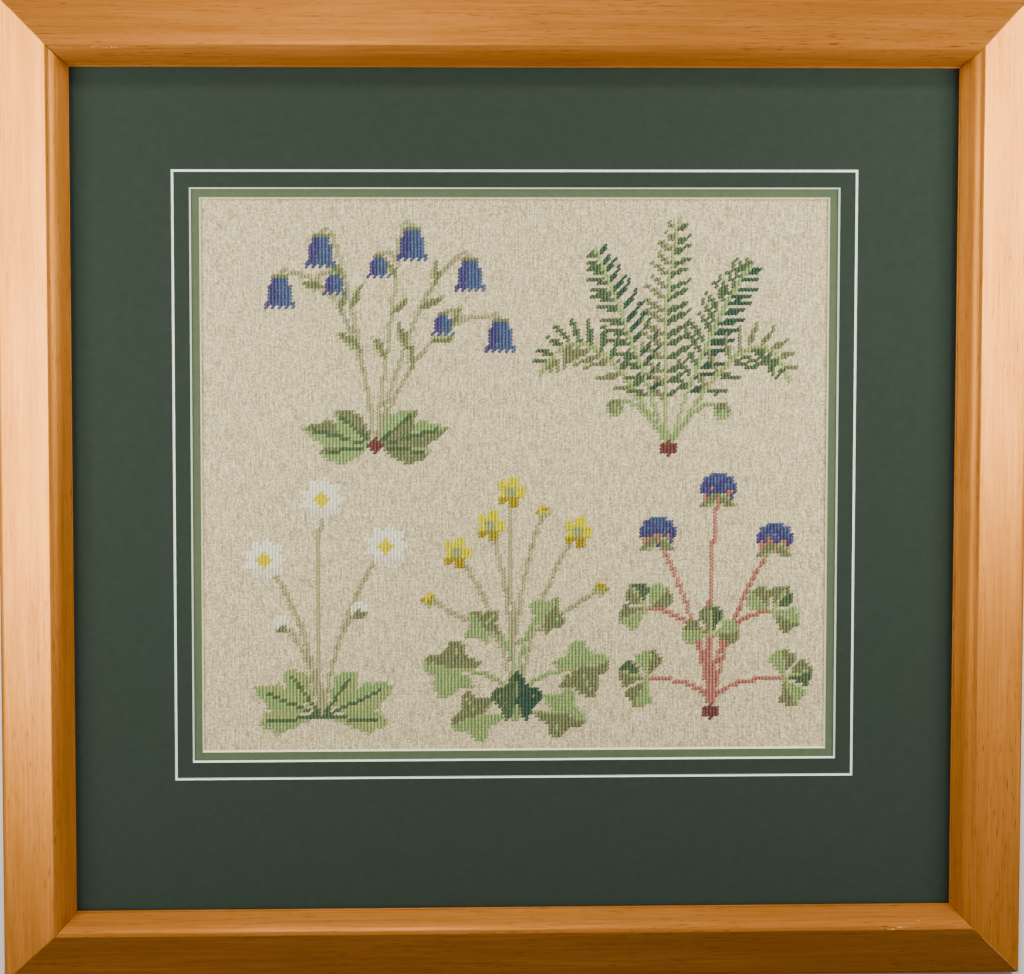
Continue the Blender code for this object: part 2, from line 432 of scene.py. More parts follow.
def shoulder(start, end):
    """Return a steep facet that rises from the lip, then a round that eases up to the ridge."""
    run, rise = end - start
    mean_slope = math.tan((FACET_TILT + ROUND_TILT) / 2)
    facet_run = (rise - run * mean_slope) / (math.tan(FACET_TILT) - mean_slope)
    turn = start + facet_run * Vector((1.0, math.tan(FACET_TILT)))
    facet = crowned_line(start, turn, FACET_CROWN, FACET_STEPS)
    radius = (end.x - turn.x) / (math.sin(FACET_TILT) - math.sin(ROUND_TILT))
    return facet + arc_between(turn, end, radius, ROUND_STEPS)


def rail_section():
    """Return a rail's section as (distance outwards, height) points, clockwise from its back."""
    ridge_in = Vector((LIP_FLAT + BEAD_WIDTH, RIDGE_HEIGHT - RIDGE_DROP))
    ridge_out = ridge_in + Vector((RIDGE_FLAT, RIDGE_DROP))
    outer_top = Vector((RAIL_WIDTH, OUTER_HEIGHT))
    outer_base = Vector((RAIL_WIDTH, 0.0))
    lip_base = Vector((0.0, LIP_UNDERSIDE))
    bead_start = Vector((LIP_FLAT, LIP_HEIGHT))
    points = [Vector((REBATE_WIDTH, 0.0)), Vector((REBATE_WIDTH, LIP_UNDERSIDE)), lip_base]
    lip_top = Vector((0.0, LIP_HEIGHT))
    points += rounded_corner(lip_top, lip_base, bead_start, LIP_ARRIS_RADIUS, LIP_ARRIS_STEPS)
    points += shoulder(bead_start, ridge_in)
    points += rounded_corner(ridge_out, ridge_in, outer_top, RIDGE_ARRIS_RADIUS, RIDGE_ARRIS_STEPS)
    outer_arris = rounded_corner(outer_top, ridge_out, outer_base, OUTER_ARRIS_RADIUS, OUTER_ARRIS_STEPS)
    points += crowned_line(points[-1], outer_arris[0], SLOPE_CROWN, SLOPE_STEPS)[1:]
    points += outer_arris
    points.append(Vector((RAIL_WIDTH, BACK_ARRIS)))
    points.append(Vector((RAIL_WIDTH - BACK_ARRIS, 0.0)))
    return points


# Chips and scratches in millimetres, each a stroke from one place to another. A place is how far along
# the rail from its middle and how far outwards from the opening.
NICKS = {
    "rail_top": (
        {"from": (-223.2, 10.1), "to": (-210.6, 10.0), "half_width": 0.42, "depth": 0.30},
        {"from": (-224.2, 10.9), "to": (-220.3, 11.0), "half_width": 0.30, "depth": 0.20},
        {"from": (-244.4, 10.2), "to": (-242.6, 10.2), "half_width": 0.24, "depth": 0.15},
    ),
    "rail_bottom": (
        {"from": (-199.6, 11.0), "to": (-204.7, 11.1), "half_width": 0.36, "depth": 0.20},
        {"from": (-206.1, 10.0), "to": (-219.8, 10.2), "half_width": 0.50, "depth": 0.30},
        {"from": (-199.9, 2.8), "to": (-207.0, 7.9), "half_width": 0.22, "depth": 0.10},
        {"from": (-217.6, 6.9), "to": (-218.2, 6.9), "half_width": 0.32, "depth": 0.20},
    ),
    "rail_left": (),
    "rail_right": (),
}

# A nick this deep, in millimetres, lays the wood fully bare
FULL_WEAR_DEPTH = 0.2

# Mitres that have opened a little: the rail, which of its ends, where across it and how far
OPEN_MITRES = (
    {"rail": "rail_top", "end": -1, "from": 4.0 * MM, "to": 11.5 * MM, "gap": 0.22 * MM},
    {"rail": "rail_top", "end": 1, "from": 14.0 * MM, "to": 39.5 * MM, "gap": 0.15 * MM},
)

# The mitre whose edge is rubbed pale
PALE_MITRE = {"rail": "rail_bottom", "end": -1, "from": 15.0 * MM, "to": 39.5 * MM, "wear": 0.9}


def stations(half_run, nicks):
    """Return shares of the half length, from -1 to 1, closer together at each nick and at the ends."""
    count = math.ceil(2 * half_run / STATION_STEP)
    shares = {-1 + 2 * step / count for step in range(count + 1)}
    shares |= {sign * (1 - step * MITRE_ARRIS / half_run) for sign in (-1, 1) for step in (1, 3)}
    for nick in nicks:
        ends = sorted((nick["from"][0] * MM, nick["to"][0] * MM))
        low, high = ends[0] - NICK_REACH, ends[1] + NICK_REACH
        steps = math.ceil((high - low) / NICK_STEP)
        shares |= {(low + (high - low) * step / steps) / half_run for step in range(steps + 1)}
    return sorted(share for share in shares if abs(share) <= 1)


def mitre_gap(rail, end, outwards):
    """Return how far back a rail's end stands at this distance from the opening."""
    gap = MITRE_CUT
    for row in OPEN_MITRES:
        if (row["rail"], row["end"]) == (rail, end) and row["from"] <= outwards <= row["to"]:
            gap += row["gap"]
    return gap


def knock(points, wear, nicks, dice):
    """Press each nick into the rail's points and mark the wood that it lays bare."""
    for nick in nicks:
        start, end = (np.array(nick[key]) * MM for key in ("from", "to"))
        stroke = end - start
        offset = points[:, :2] - start
        share = np.clip(offset @ stroke / (stroke @ stroke), 0.0, 1.0)
        distance = np.linalg.norm(offset - share[:, None] * stroke, axis=1)
        ragged = nick["half_width"] * MM * dice.uniform(*NICK_RAGGEDNESS, len(points))
        shape = np.clip(NICK_STEEPNESS * (1.0 - distance / ragged), 0.0, 1.0)
        shape[points[:, 2] < LIP_UNDERSIDE] = 0.0
        points[:, 2] -= nick["depth"] * MM * shape
        wear += shape * min(1.0, nick["depth"] / FULL_WEAR_DEPTH)


def rub_mitre(wear, name, section):
    """Mark the wood that is rubbed pale along one mitre, on its last two stations."""
    if name != PALE_MITRE["rail"]:
        return
    rubbed = [PALE_MITRE["from"] <= outwards <= PALE_MITRE["to"] for outwards, _ in section]
    reach = 2 * len(section)
    ends = slice(None, reach) if PALE_MITRE["end"] < 0 else slice(-reach, None)
    wear[ends] += PALE_MITRE["wear"] * np.array(2 * rubbed)


def sweep_points(name, inner_half, section):
    """Return the section's points at every station along the rail, cut back at its mitres."""
    half_run = inner_half + LIP_FLAT + BEAD_WIDTH
    shares = stations(half_run, NICKS[name])
    points = []
    for index, share in enumerate(shares):
        at_end = index in (0, len(shares) - 1)
        near_end = max(0.0, 1.0 - (1.0 - abs(share)) * half_run / STATION_STEP)
        side = 1 if share > 0 else -1
        for outwards, height in section:
            x = share * (inner_half + outwards) - side * near_end * mitre_gap(name, side, outwards)
            drop = 0.5 * MITRE_ARRIS if at_end and height > LIP_UNDERSIDE else 0.0
            points.append((x, outwards, height - drop))
    return np.array(points)


def sweep_faces(around, total):
    """Return the faces that join a section's points from station to station and close both ends."""
    faces = []
    for near in range(0, total - around, around):
        far = near + around
        for index in range(around):
            after = (index + 1) % around
            faces.append((near + index, far + index, far + after, near + after))
    faces.append(tuple(range(around)))
    faces.append(tuple(reversed(range(total - around, total))))
    return faces


def make_rail(name, turn, material):
    """Sweep the section along one side of the opening, mitred at both ends."""
    level = name in ("rail_top", "rail_bottom")
    inner_half, offset = HALF_OPENING if level else HALF_OPENING.yx
    section = rail_section()
    points = sweep_points(name, inner_half, section)
    wear = np.zeros(len(points))
    knock(points, wear, NICKS[name], np.random.default_rng(SEED))
    rub_mitre(wear, name, section)
    mesh = bpy.data.meshes.new(name + "_wood")
    mesh.from_pydata(points.tolist(), [], sweep_faces(len(section), len(points)))
    mesh.attributes.new("wear", "FLOAT", "POINT").data.foreach_set("value", np.clip(wear, 0.0, 1.0))
    mesh.materials.append(material)
    mesh.shade_smooth()
    mesh.set_sharp_from_angle(angle=RAIL_SHARP_ANGLE)
    rail = link_object(name + "_wood", mesh)
    rail.rotation_euler = (0.0, 0.0, turn)
    rail.location = (-math.sin(turn) * offset, math.cos(turn) * offset, 0.0)
    return dress(rail, "honey_wood", name)


# Mats

def rectangle(width, height, rise, level):
    """Return the corners of a level rectangle, its middle moved towards the top edge by the rise."""
    signs = ((-1, -1), (1, -1), (1, 1), (-1, 1))
    return [(x * width / 2, y * height / 2 + rise, level) for x, y in signs]


def inset_window(inset, level):
    """Return a rectangle that lies inside the groove's outer edge by the inset."""
    return rectangle(GROOVE_WIDTH - 2 * inset, GROOVE_HEIGHT - 2 * inset, WINDOW_RISE, level)


def make_mat(node, slot, rings, materials):
    """Join rectangles into a closed ring. Each row gives the corners and the material of the next band."""
    shape = bmesh.new()
    loops = [[shape.verts.new(corner) for corner in corners] for corners, _ in rings]
    for index, loop in enumerate(loops):
        after = loops[(index + 1) % len(loops)]
        for side in range(4):
            other = (side + 1) % 4
            face = shape.faces.new((loop[side], loop[other], after[other], after[side]))
            face.material_index = rings[index][1]
    bmesh.ops.recalc_face_normals(shape, faces=shape.faces)
    mesh = bpy.data.meshes.new(node + "_cut")
    shape.to_mesh(mesh)
    shape.free()
    for material in materials:
        mesh.materials.append(material)
    return dress(link_object(node + "_cut", mesh), slot, node)


def make_mats():
    """Make the dark outer mat with its groove, and the sage inner mat that shows as a border."""
    face, core = 0, 1
    low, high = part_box("mat_top")
    width, height = high.x - low.x, high.y - low.y
    rings = (
        (rectangle(width, height, 0.0, low.z), core),
        (rectangle(width, height, 0.0, high.z), face),
        (inset_window(GROOVE_START, high.z), face),
        (inset_window(GROOVE_START + PAPER_ARRIS, high.z - PAPER_ARRIS), core),
        (inset_window(GROOVE_START + GROOVE_HALF_SPAN, high.z - GROOVE_DEPTH), core),
        (inset_window(GROOVE_START + 2 * GROOVE_HALF_SPAN - PAPER_ARRIS, high.z - PAPER_ARRIS), face),
        (inset_window(GROOVE_START + 2 * GROOVE_HALF_SPAN, high.z), face),
        (inset_window(TOP_WINDOW_INSET, high.z), face),
        (inset_window(TOP_WINDOW_INSET + PAPER_ARRIS, high.z - PAPER_ARRIS), core),
        (inset_window(TOP_WINDOW_INSET + BEVEL_RUN, low.z), core),
    )
    green = paper_material("green_paper", (0.058, 0.076, 0.055), (0.068, 0.087, 0.064))
    white = core_material("white_core", (0.93, 0.95, 0.90))
    make_mat("mat_top", "green_mat", rings, (green, white))

    low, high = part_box("mat_under")
    rings = (
        (rectangle(width, height, 0.0, low.z), core),
        (rectangle(width, height, 0.0, high.z), face),
        (inset_window(UNDER_BEVEL_START, high.z), face),
        (inset_window(UNDER_BEVEL_START + PAPER_ARRIS, high.z - PAPER_ARRIS), core),
        (inset_window(UNDER_BEVEL_START + BEVEL_RUN, low.z), core),
    )
    sage = paper_material("sage_paper", (0.146, 0.174, 0.104), (0.166, 0.198, 0.120))
    cream = core_material("cream_core", (0.92, 0.86, 0.66))
    make_mat("mat_under", "sage_mat", rings, (sage, cream))


# Linen

def cloth_rise(x, y):
    """Return how far the stretched cloth stands over its flat level, in soft uneven swells."""
    wide = np.sin(21.0 * x + 1.3) * np.sin(17.0 * y + 0.4)
    fine = np.sin(67.0 * x - 23.0 * y) * np.sin(49.0 * y + 31.0 * x + 2.0)
    return CLOTH_SWELL * (0.7 * wide + 0.3 * fine)


def sheet_faces(columns, rows):
    """Return the faces of a closed sheet: its front, its back and the rim between them."""
    across = columns + 1
    under = across * (rows + 1)
    corner = (np.arange(rows)[:, None] * across + np.arange(columns)).ravel()
    quads = np.stack([corner, corner + 1, corner + across + 1, corner + across], -1)
    rim = list(range(columns))
    rim += [row * across + columns for row in range(rows)]
    rim += [rows * across + column for column in range(columns, 0, -1)]
    rim += [row * across for row in range(rows, 0, -1)]
    edge = [(a, b, b + under, a + under) for a, b in zip(rim[1:] + rim[:1], rim)]
    return quads.tolist() + (quads[:, ::-1] + under).tolist() + edge


def make_linen():
    """Make the stretched cloth as a thin closed sheet."""
    level = LINEN_BOX[1].z - CLOTH_SWELL
    columns = round(LINEN_SIZE.x / CLOTH_STEP)
    rows = round(LINEN_SIZE.y / CLOTH_STEP)
    xs = np.linspace(LINEN_BOX[0].x, LINEN_BOX[1].x, columns + 1)
    ys = np.linspace(LINEN_BOX[0].y, LINEN_BOX[1].y, rows + 1)
    grid_x, grid_y = np.meshgrid(xs, ys)
    top = level + cloth_rise(grid_x, grid_y)
    front = np.stack([grid_x, grid_y, top], -1).reshape(-1, 3)
    back = np.stack([grid_x, grid_y, top - CLOTH_THICKNESS], -1).reshape(-1, 3)
    mesh = bpy.data.meshes.new("linen_cloth")
    mesh.from_pydata(np.concatenate([front, back]).tolist(), [], sheet_faces(columns, rows))
    mesh.materials.append(linen_material())
    mesh.shade_smooth()
    mesh.set_sharp_from_angle(angle=CLOTH_SHARP_ANGLE)
    return dress(link_object("linen_cloth", mesh), "linen", "linen")


# The chart: a plant is drawn in stitches, counted from the lower left corner of the cloth

def put(chart, column, row, floss):
    """Mark one stitch, if it is on the cloth."""
    cell = (round(column), round(row))
    if 0 <= cell[0] < COLUMNS and 0 <= cell[1] < ROWS:
        chart[cell] = floss


def curve_point(start, bend, end, share):
    """Return a point on the curve from start to end that leans towards the bend."""
    rest = 1 - share
    weights = (rest * rest, 2 * rest * share, share * share)
    return tuple(weights[0] * s + weights[1] * b + weights[2] * e for s, b, e in zip(start, bend, end))


def curve_angle(start, bend, end, share):
    """Return the curve's direction at a share of its way."""
    ahead = curve_point(start, bend, end, min(share + 0.02, 1.0))
    behind = curve_point(start, bend, end, max(share - 0.02, 0.0))
    return math.atan2(ahead[1] - behind[1], ahead[0] - behind[0])


def stem(chart, start, bend, end, floss):
    """Stitch a curved stem."""
    steps = int(3 * (math.dist(start, bend) + math.dist(bend, end)))
    for step in range(steps + 1):
        put(chart, *curve_point(start, bend, end, step / steps), floss)


def leaf(chart, base, degrees, length, width, flosses, peak=0.45, teeth=0):
    """Stitch a pointed leaf. Its flosses are for the lit half, the shaded half and the vein."""
    lit, shaded, vein = flosses
    angle = math.radians(degrees)
    power = math.log(0.5) / math.log(peak)
    reach = int(length) + 2
    for across in range(-reach, reach + 1):
        for up in range(-reach, reach + 1):
            share = (across * math.cos(angle) + up * math.sin(angle)) / length
            side = up * math.cos(angle) - across * math.sin(angle)
            if not 0.0 <= share <= 1.0:
                continue
            half = width / 2 * math.sin(math.pi * share ** power)
            if teeth:
                half *= 0.78 + 0.34 * (share * teeth % 1.0)
            if abs(side) > max(half, 0.5):
                continue
            floss = vein if abs(side) < 0.5 and share < 0.85 else lit if side > 0 else shaded
            put(chart, base[0] + across, base[1] + up, floss)


def lobed_leaf(chart, centre, degrees, radius, lobes, flosses, depth=0.35):
    """Stitch a rounded leaf with lobes, notched where its stalk joins."""
    lit, shaded, vein = flosses
    reach = int(radius) + 1
    for across in range(-reach, reach + 1):
        for up in range(-reach, reach + 1):
            turn = math.atan2(up, across) - math.radians(degrees)
            turn = math.atan2(math.sin(turn), math.cos(turn))
            wave = 0.5 + 0.5 * math.cos(lobes * turn * 0.88)
            notch = 1.0 - 0.75 * max(0.0, 1.0 - (math.pi - abs(turn)) / 0.45)
            distance = math.hypot(across, up)
            if distance > radius * (1.0 - depth + depth * wave) * notch:
                continue
            on_vein = wave > 0.97 and distance < 0.75 * radius
            put(chart, centre[0] + across, centre[1] + up, vein if on_vein else lit if turn > 0 else shaded)


def daisy(chart, centre, radius, petals, flosses):
    """Stitch an open flower. Its flosses are for petals, their shade and the heart."""
    petal, shade, heart = flosses
    reach = int(radius) + 1
    for across in range(-reach, reach + 1):
        for up in range(-reach, reach + 1):
            distance = math.hypot(across, up)
            edge = radius * (0.62 + 0.38 * abs(math.cos(petals * math.atan2(up, across) / 2)))
            if distance <= 0.32 * radius:
                put(chart, centre[0] + across, centre[1] + up, heart)
            elif distance <= edge:
                put(chart, centre[0] + across, centre[1] + up, shade if up < -0.35 * radius else petal)


def bell(chart, top, width, height, flosses):
    """Stitch a bell that hangs from its stalk, with a toothed mouth."""
    lit, shaded, cap = flosses
    for down in range(height + 1):
        share = down / height
        half = width / 2 * (0.45 + 0.35 * math.sqrt(share) + 0.2 * share ** 3)
        reach = int(half + 0.5)
        for across in range(-reach, reach + 1):
            if down == height and (across + reach) % 2:
                continue
            floss = cap if down == 0 else shaded if across < -0.3 * half else lit
            put(chart, top[0] + across, top[1] - down, floss)


def head(chart, centre, width, height, flosses, dice):
    """Stitch a rounded head of many small florets, from the lowest floss to the highest."""
    for across in range(-int(width / 2) - 1, int(width / 2) + 2):
        for up in range(-int(height / 2) - 1, int(height / 2) + 2):
            if (2 * across / width) ** 2 + (2 * up / height) ** 2 > 1.0:
                continue
            share = 0.5 + up / height + dice.uniform(-0.3, 0.3)
            index = min(max(int(share * len(flosses)), 0), len(flosses) - 1)
            put(chart, centre[0] + across, centre[1] + up, flosses[index])


def frond(chart, start, bend, end, longest, flosses):
    """Stitch a fern frond whose leaflets shorten towards its tip."""
    lit, shaded, rib = flosses
    pairs = int(math.dist(start, end) / 4.3)
    for pair in range(pairs):
        share = 0.22 + 0.78 * pair / pairs
        base = curve_point(start, bend, end, share)
        ahead = math.degrees(curve_angle(start, bend, end, share))
        length = longest * math.sqrt(1.0 - share) * min(1.0, 2.4 * share) + 1.5
        leaf(chart, base, ahead + 58, length, 1.7, (lit, lit, lit), peak=0.4)
        leaf(chart, base, ahead - 58, length, 1.7, (shaded, shaded, shaded), peak=0.4)
    stem(chart, start, bend, end, rib)


def stitch_bellflower(chart, dice):
    """Arching stems with hanging bells, upper left."""
    root = (50, 90)
    bloom = ("blue", "violet", "moss")
    stalks = (((25, 141), (45, 140)), ((37, 153), (44, 134)), ((58, 155), (55, 130)),
              ((75, 146), (62, 138)), ((84, 128), (64, 130)))
    for index, (tip, bend) in enumerate(stalks):
        stem(chart, root, bend, tip, "stem_grey")
        for share, side in ((0.35, 1), (0.55, -1), (0.72, 1)):
            base = curve_point(root, bend, tip, share)
            turn = math.degrees(curve_angle(root, bend, tip, share)) + side * 38
            leaf(chart, base, turn, 9 - 4 * share, 2.6, ("olive", "moss", "moss"))
        lean = 1 if tip[0] > root[0] else -1
        hang = (tip[0] + 3 * lean, tip[1] - 1)
        stem(chart, tip, (tip[0] + 2 * lean, tip[1] + 2), hang, "stem_grey")
        bell(chart, hang, 8, 9, bloom)
        if index % 2 == 0:
            fork = curve_point(root, bend, tip, 0.8)
            drop = (fork[0] - 6 * lean, fork[1] + 2)
            stem(chart, fork, (fork[0] - 3 * lean, fork[1] + 4), drop, "stem_grey")
            bell(chart, drop, 5, 6, bloom)
    for degrees, length in ((-8, 17), (188, 17), (14, 22), (166, 22), (40, 16), (140, 16)):
        leaf(chart, root, degrees, length, 7.5, ("fresh", "moss", "pine"), peak=0.6)
    head(chart, root, 4, 4, ("root",), dice)


def stitch_fern(chart, dice):
    """Spreading fronds over small opening ones, upper right."""
    root = (137, 89)
    fronds = (((99, 111), (112, 137)), ((115, 148), (124, 128)), ((140, 157), (133, 124)),
              ((162, 144), (150, 130)), ((173, 109), (163, 136)))
    for index, (tip, bend) in enumerate(fronds):
        flosses = ("pine", "deep", "fresh") if index % 2 else ("moss", "pine", "olive")
        frond(chart, root, bend, tip, 10, flosses)
    for tip, bend in (((121, 101), (127, 108)), ((153, 100), (147, 107))):
        stem(chart, root, bend, tip, "fresh")
        head(chart, tip, 5, 5, ("fresh", "moss"), dice)
    head(chart, root, 5, 4, ("root",), dice)


def stitch_daisies(chart, dice):
    """White daisies over a rosette of toothed leaves, lower left."""
    root = (34, 9)
    for tip, bend in (((17, 56), (30, 40)), ((34, 74), (32, 44)), ((53, 60), (40, 44))):
        stem(chart, root, bend, tip, "stem_grey")
        daisy(chart, tip, 6.6, 9, ("white", "white_shade", "yellow"))
    for tip, bend in (((45, 41), (38, 36)), ((22, 37), (30, 32))):
        stem(chart, root, bend, tip, "stem_grey")
        head(chart, tip, 5, 5, ("moss", "white_shade", "white"), dice)
    for degrees, length in ((-4, 20), (184, 19), (24, 23), (156, 22), (54, 17), (126, 18)):
        leaf(chart, root, degrees, length, 8.0, ("fresh", "olive", "pine"), peak=0.68, teeth=4)


def stitch_buttercups(chart, dice):
    """Branching stems with yellow cups and lobed leaves, lower middle."""
    root = (92, 8)
    cups = (((74, 58), (88, 40)), ((90, 76), (90, 44)), ((110, 64), (96, 44)), ((84, 66), (90, 50)))
    for tip, bend in cups:
        stem(chart, root, bend, tip, "stem_grey")
        daisy(chart, tip, 4.6, 5, ("yellow", "ochre", "olive"))
    for tip, bend in (((66, 44), (80, 36)), ((117, 47), (102, 38)), ((100, 70), (95, 60))):
        stem(chart, (91, 30), bend, tip, "stem_grey")
        head(chart, tip, 4, 4, ("olive", "ochre", "yellow"), dice)
    places = (((73, 23), 165, 9), ((111, 23), 15, 9), ((80, 9), 200, 8), ((105, 10), -20, 8),
              ((82, 36), 130, 6), ((101, 39), 60, 6))
    for centre, degrees, radius in places:
        stem(chart, root, (92, centre[1]), centre, "fresh")
        lobed_leaf(chart, centre, degrees, radius, 5, ("fresh", "moss", "olive"))
    lobed_leaf(chart, (92, 14), 90, 8, 5, ("pine", "deep", "moss"))


def stitch_clover(chart, dice):
    """Round heads and leaves in threes on reddish stems, lower right."""
    root = (150, 10)
    for tip, bend in (((134, 62), (146, 40)), ((152, 75), (148, 44)), ((169, 60), (156, 44))):
        stem(chart, root, bend, tip, "rose")
        head(chart, (tip[0], tip[1] + 2), 11, 9, ("rose", "violet", "violet", "blue"), dice)
        leaf(chart, tip, 215, 6, 3, ("fresh", "moss", "moss"))
        leaf(chart, tip, -35, 6, 3, ("fresh", "moss", "moss"))
    places = (((131, 41), 125), ((168, 40), 55), ((131, 20), 165), ((172, 20), 15), ((150, 33), 90))
    for centre, degrees in places:
        stem(chart, root, (150, centre[1]), centre, "rose")
        for turn in (-80, 80, 0):
            flosses = ("fresh", "moss", "olive") if turn else ("moss", "pine", "olive")
            leaf(chart, centre, degrees + turn, 9, 8, flosses, peak=0.66)
    head(chart, root, 5, 4, ("root",), dice)


def draw_chart():
    """Return which floss each stitch takes."""
    dice = random.Random(SEED)
    chart = {}
    for plant in (stitch_bellflower, stitch_fern, stitch_daisies, stitch_buttercups, stitch_clover):
        plant(chart, dice)
    return chart


# Stitches

# Each leg: its half reach across and up in stitches, its half height, its stations from end to end in
# millimetres, and its shade tones there, which are painted shade: low all over the lower leg, and lower at
# the upper leg's ends where it dives into the holes. The lower leg is pressed flat and wide, so its painted
# shade fills the gaps between the columns. The thread's tension draws the upper one in, so the columns
# stand out.
LEGS = (
    {
        "reach": (0.50, 0.50), "half_height": 0.08 * MM,
        "heights": (0.02, 0.05, 0.06, 0.05, 0.02), "half_widths": (0.58, 0.66, 0.70, 0.66, 0.58),
        "shade_tones": (0.22, 0.30, 0.32, 0.30, 0.22),
    },
    {
        "reach": (-0.05, 0.54), "half_height": 0.22 * MM,
        "heights": (0.12, 0.30, 0.36, 0.30, 0.12), "half_widths": (0.44, 0.52, 0.54, 0.52, 0.44),
        "shade_tones": (0.55, 0.74, 0.80, 0.74, 0.55),
    },
)
LEG_SHARES = (0.0, 0.2, 0.5, 0.8, 1.0)

# A leg's section: two strands side by side, with a valley between them
LEG_SECTION = ((-1.0, -0.1), (-0.55, 0.9), (0.0, 0.35), (0.55, 0.9), (1.0, -0.1), (0.0, -0.8))

# How much the stitches differ from one another
SPIN_SPREAD = math.radians(3.0)
WIDTH_SPREAD = 0.07
LIFT_SPREAD = 0.10
TONE_SPREAD = 0.12
SEAT_SPREAD = 0.03 * MM
STRAND_TWIST = 0.18


def leg_points(count, leg, dice):
    """Return the points of one leg of every stitch, round each stitch's middle."""
    shares = np.array(LEG_SHARES) - 0.5
    heights = np.array(leg["heights"]) * MM
    widths = np.array(leg["half_widths"]) * MM
    section = np.array(LEG_SECTION)
    reach = 2 * STITCH * Vector(leg["reach"])
    spin = math.atan2(reach.y, reach.x) + dice.normal(0.0, SPIN_SPREAD, count)
    fat = dice.normal(1.0, WIDTH_SPREAD, (count, 1, 1))
    lift = dice.normal(1.0, LIFT_SPREAD, (count, 1, 1))
    along = np.broadcast_to(shares[None, :, None] * reach.length, (count, len(shares), len(section)))
    twist = STRAND_TWIST * np.sin(dice.uniform(0.0, 6.28, (count, 1, 1)) + 5.0 * shares[None, :, None])
    lean = twist * (section[:, 1] > 0)[None, None, :]
    across = (section[None, None, :, 0] + lean) * widths[None, :, None] * fat
    up = heights[None, :, None] * lift + section[None, None, :, 1] * leg["half_height"]
    cos, sin = np.cos(spin)[:, None, None], np.sin(spin)[:, None, None]
    return np.stack([along * cos - across * sin, along * sin + across * cos, up], -1)


def leg_shades(count, leg, dice):
    """Return the painted shade of each of those points: the leg's shade tones, varied from stitch to
    stitch, and darker towards the strands' edges.
    """
    shade_tones = np.array(leg["shade_tones"])[None, :, None] * dice.normal(1.0, TONE_SPREAD, (count, 1, 1))
    side = 1.0 - 0.35 * np.abs(np.array(LEG_SECTION)[:, 0])[None, None, :]
    return np.clip(shade_tones * side, 0.0, 1.0)


def leg_faces():
    """Return one leg's quads: the strands' skin and both closed ends."""
    size = len(LEG_SECTION)
    last = (len(LEG_SHARES) - 1) * size
    faces = []
    for near in range(0, last, size):
        for index in range(size):
            after = (index + 1) % size
            faces.append((near + index, near + size + index, near + size + after, near + after))
    faces += [(0, 1, 2, 5), (2, 3, 4, 5)]
    faces += [(last + 5, last + 2, last + 1, last), (last + 5, last + 4, last + 3, last + 2)]
    return np.array(faces)


def make_stitches(floss, cells, dice):
    """Make all the stitches of one floss as one mesh of crossed legs."""
    cells = np.array(sorted(cells), float)
    count = len(cells)
    x = (cells[:, 0] + 0.5 - COLUMNS / 2) * STITCH
    y = (cells[:, 1] + 0.5 - ROWS / 2) * STITCH + WINDOW_RISE
    x = x + dice.normal(0.0, SEAT_SPREAD, count)
    y = y + dice.normal(0.0, SEAT_SPREAD, count)
    z = LINEN_BOX[1].z - CLOTH_SWELL + cloth_rise(x, y)
    middle = np.stack([x, y, z], -1)[:, None, None, :]
    points = np.stack([leg_points(count, leg, dice) for leg in LEGS], 1) + middle[:, None]
    # Each point's painted shade, stored in the tone attribute that the floss material reads
    tone = np.stack([leg_shades(count, leg, dice) for leg in LEGS], 1)
    leg_size = len(LEG_SECTION) * len(LEG_SHARES)
    faces = leg_faces()[None] + leg_size * np.arange(2 * count)[:, None, None]
    mesh = bpy.data.meshes.new("stitches_" + floss)
    mesh.from_pydata(points.reshape(-1, 3).tolist(), [], faces.reshape(-1, 4).tolist())
    mesh.attributes.new("tone", "FLOAT", "POINT").data.foreach_set("value", tone.ravel())
    mesh.materials.append(floss_material("floss_" + floss, FLOSS[floss]))
    mesh.shade_smooth()
    return dress(link_object("stitches_" + floss, mesh), "floss")


def make_embroidery():
    """Make every floss's stitches from the chart."""
    chart = draw_chart()
    dice = np.random.default_rng(SEED)
    pieces = []
    for floss in FLOSS:
        cells = [cell for cell, used in chart.items() if used == floss]
        pieces.append(make_stitches(floss, cells, dice))
    return pieces


# Stage

FLOOR_WIDTH = 12.0
WORLD_STRENGTH = 0.24

# Soft lights low and near both sides, and others past the top and bottom edges
LIGHTS = {
    "light_left": {
        "place": (-0.56, 0.10, 0.45), "aim": (-0.10, 0.10, 0.0), "size": (0.24, 0.30), "power": 3.2,
    },
    "light_right": {
        "place": (0.56, 0.15, 0.45), "aim": (0.10, 0.15, 0.0), "size": (0.24, 0.30), "power": 3.5,
    },
    "light_top": {
        "place": (-0.10, 1.34, 1.00), "aim": (0.0, 0.10, 0.0), "size": (0.16, 0.16), "power": 9.2,
    },
    "light_top_right": {
        "place": (0.45, 0.85, 0.60), "aim": (0.0, 0.10, 0.0), "size": (0.16, 0.16), "power": 0.7,
    },
    "light_bottom": {
        "place": (0.0, -1.15, 0.35), "aim": (0.0, 0.0, 0.0), "size": (0.30, 0.30), "power": 1.3,
    },
}

# Lights far out at both sides that show only as sheen. Part of each reaches no wood but its own rail
# and the top one.
SHEENS = {
    "sheen_left": {
        "place": (-1.25, 0.05, 0.55), "aim": (-0.26, 0.06, 0.0), "size": (0.68, 0.30),
        "power": 15.0, "own_power": 21.5, "own": ("rail_left_wood", "rail_top_wood"),
    },
    "sheen_right": {
        "place": (1.25, 0.16, 0.45), "aim": (0.26, 0.11, 0.0), "size": (0.52, 0.30),
        "power": 12.5, "own_power": 17.5, "own": ("rail_right_wood", "rail_top_wood"),
    },
}
SHEEN_COLOUR = (0.98, 1.0, 0.88)


